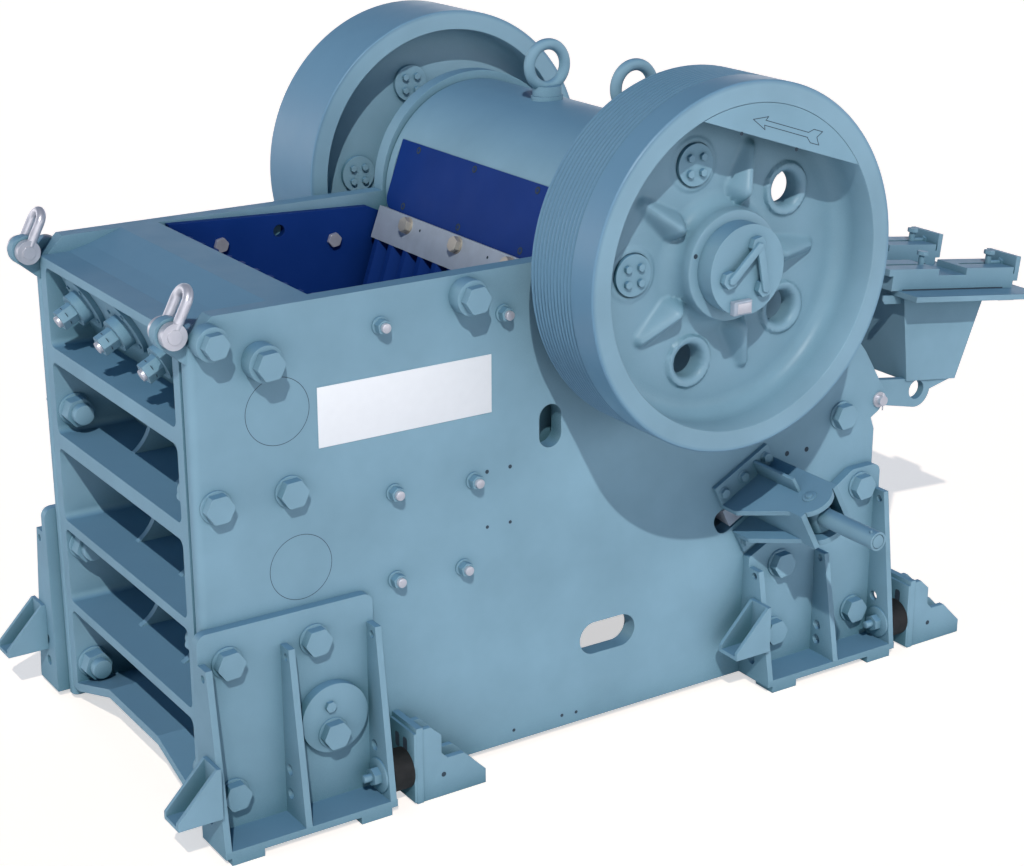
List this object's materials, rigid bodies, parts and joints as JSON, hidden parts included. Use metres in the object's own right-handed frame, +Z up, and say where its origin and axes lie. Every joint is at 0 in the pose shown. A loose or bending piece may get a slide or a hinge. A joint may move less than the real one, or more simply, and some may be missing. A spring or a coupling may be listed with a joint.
{
  "type": "jaw crusher",
  "caption": "Single-toggle jaw crusher with ribbed front frame, bolted side plates, ridged jaw dies, pitman on an eccentric shaft, spoked-rib flywheels, wedge adjusters, motor base and feet.",
  "frame": {"origin": "on the floor, at the centre of the whole machine's length and width", "axes": "+X towards the motor base at the rear, -X out of the ribbed front frame, -Y out of the grooved flywheel, +Z up; the shaft turns about +Y"},
  "size_m": [4.347, 2.81, 2.684],
  "materials": {
    "body_paint": "satin light blue paint",
    "liner_paint": "satin royal blue paint",
    "bare_steel": "machined, dull",
    "polished_steel": "zinc plated, bright",
    "rubber": "matt black"
  },
  "bodies": {
    "frame": {"adjuster_bracket_left": "body_paint", "adjuster_bracket_right": "body_paint", "adjuster_cylinder_left": "body_paint", "adjuster_cylinder_right": "body_paint", "adjusting_wedges": "bare_steel", "ear_pins": "polished_steel", "fixed_jaw_die": "liner_paint", "front_foot_left": "body_paint", "front_foot_right": "body_paint", "front_frame": "body_paint", "front_nose_left": "body_paint", "front_nose_right": "body_paint", "front_stop_left": "body_paint", "front_stop_right": "body_paint", "jaw_wedge_bolts": "body_paint", "lower_cheek_left": "liner_paint", "lower_cheek_right": "liner_paint", "main_bearing_left": "body_paint", "main_bearing_right": "body_paint", "motor_base": "body_paint", "motor_rails": "body_paint", "rear_foot_left": "body_paint", "rear_foot_right": "body_paint", "rear_frame": "body_paint", "rear_nose_left": "body_paint", "rear_nose_right": "body_paint", "rear_stop_left": "body_paint", "rear_stop_right": "body_paint", "rubber_buffers": "rubber", "side_plate_left": "body_paint", "side_plate_right": "body_paint", "toggle_plate": "bare_steel", "toggle_seat": "bare_steel", "upper_cheek_left": "liner_paint", "upper_cheek_right": "liner_paint"},
    "drive": {"eccentric_shaft": "bare_steel", "flywheel_right": "body_paint", "flywheel_left": "body_paint", "counterweight_right": "body_paint", "counterweight_left": "body_paint", "shaft_end_cap_right": "body_paint", "shaft_end_cap_left": "body_paint", "cap_screws": "body_paint", "hole_plugs": "body_paint"},
    "pitman": {"pitman": "body_paint", "moving_jaw_die": "liner_paint", "pitman_guard": "liner_paint", "jaw_wedge": "bare_steel", "lifting_eyes": "body_paint"},
    "shackle_right": {"shackle_bow_right": "polished_steel", "shackle_pin_right": "polished_steel"},
    "shackle_left": {"shackle_bow_left": "polished_steel", "shackle_pin_left": "polished_steel"}
  },
  "joints": [
    {"name": "shaft_spin", "type": "hinge", "parent": "frame", "child": "drive", "pos_m": [0.0375, 0, 1.99], "axis": [0, 1, 0], "continuous": true},
    {"name": "pitman_hang", "type": "hinge", "parent": "drive", "child": "pitman", "pos_m": [0.03194, 0, 1.97288], "axis": [0, 1, 0], "continuous": true},
    {"name": "shackle_swing_right", "type": "hinge", "parent": "frame", "child": "shackle_right", "pos_m": [-2.0055, -0.67, 1.946], "axis": [0, 1, 0], "range_deg": [-170, 5]},
    {"name": "shackle_swing_left", "type": "hinge", "parent": "frame", "child": "shackle_left", "pos_m": [-2.0055, 0.67, 1.946], "axis": [0, 1, 0], "range_deg": [-170, 5]}
  ],
  "couplings": [
    {"joint": "pitman_hang", "follows": "shaft_spin", "ratio": -1}
  ]
}
